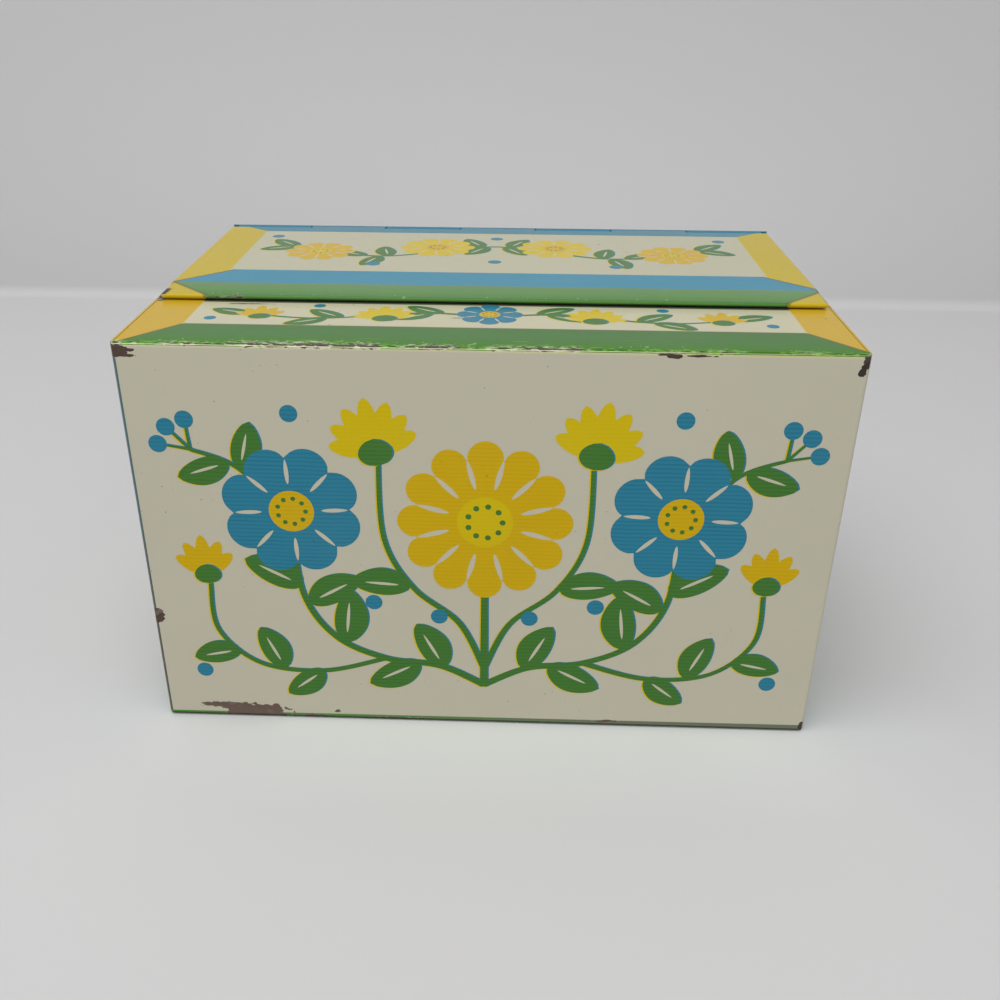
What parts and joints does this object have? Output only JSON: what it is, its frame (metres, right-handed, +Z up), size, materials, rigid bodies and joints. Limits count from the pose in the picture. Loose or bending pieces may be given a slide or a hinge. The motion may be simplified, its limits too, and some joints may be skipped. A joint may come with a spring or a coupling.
{
  "type": "recipe card box",
  "caption": "Folded tinplate box for recipe cards with a fixed front ledge, a hinged lid with a rolled lip, and tabbed guide cards standing inside.",
  "frame": {"origin": "middle of the footprint, on the surface the box stands on", "axes": "+Z up, the front with its fixed ledge faces -Y, X runs along the width and along the lid's hinge"},
  "size_m": [0.134, 0.091, 0.0837],
  "materials": {
    "printed_tinplate": "glossy lithographed enamel on tinplate",
    "green_tinplate": "glossy enamel on tinplate",
    "steel_wire": "drawn steel wire",
    "card_stock": "matt card",
    "guide_stock": "matt manila board"
  },
  "bodies": {
    "box": {"body_wrap": "printed_tinplate", "back_panel": "printed_tinplate", "bottom_plate": "green_tinplate", "hinge_leaf": "printed_tinplate", "hinge_wire": "steel_wire", "recipe_cards_1": "card_stock", "recipe_cards_2": "card_stock", "recipe_cards_3": "card_stock", "recipe_cards_4": "card_stock", "recipe_cards_5": "card_stock", "guide_card_1": "guide_stock", "guide_card_2": "guide_stock", "guide_card_3": "guide_stock", "guide_card_4": "guide_stock", "guide_card_5": "guide_stock"},
    "lid": {"lid": "printed_tinplate"}
  },
  "joints": [
    {"name": "lid_hinge", "type": "hinge", "parent": "box", "child": "lid", "pos_m": [0, 0.0435, 0.08245], "axis": [-1, 0, 0], "range_deg": [0, 105]}
  ]
}
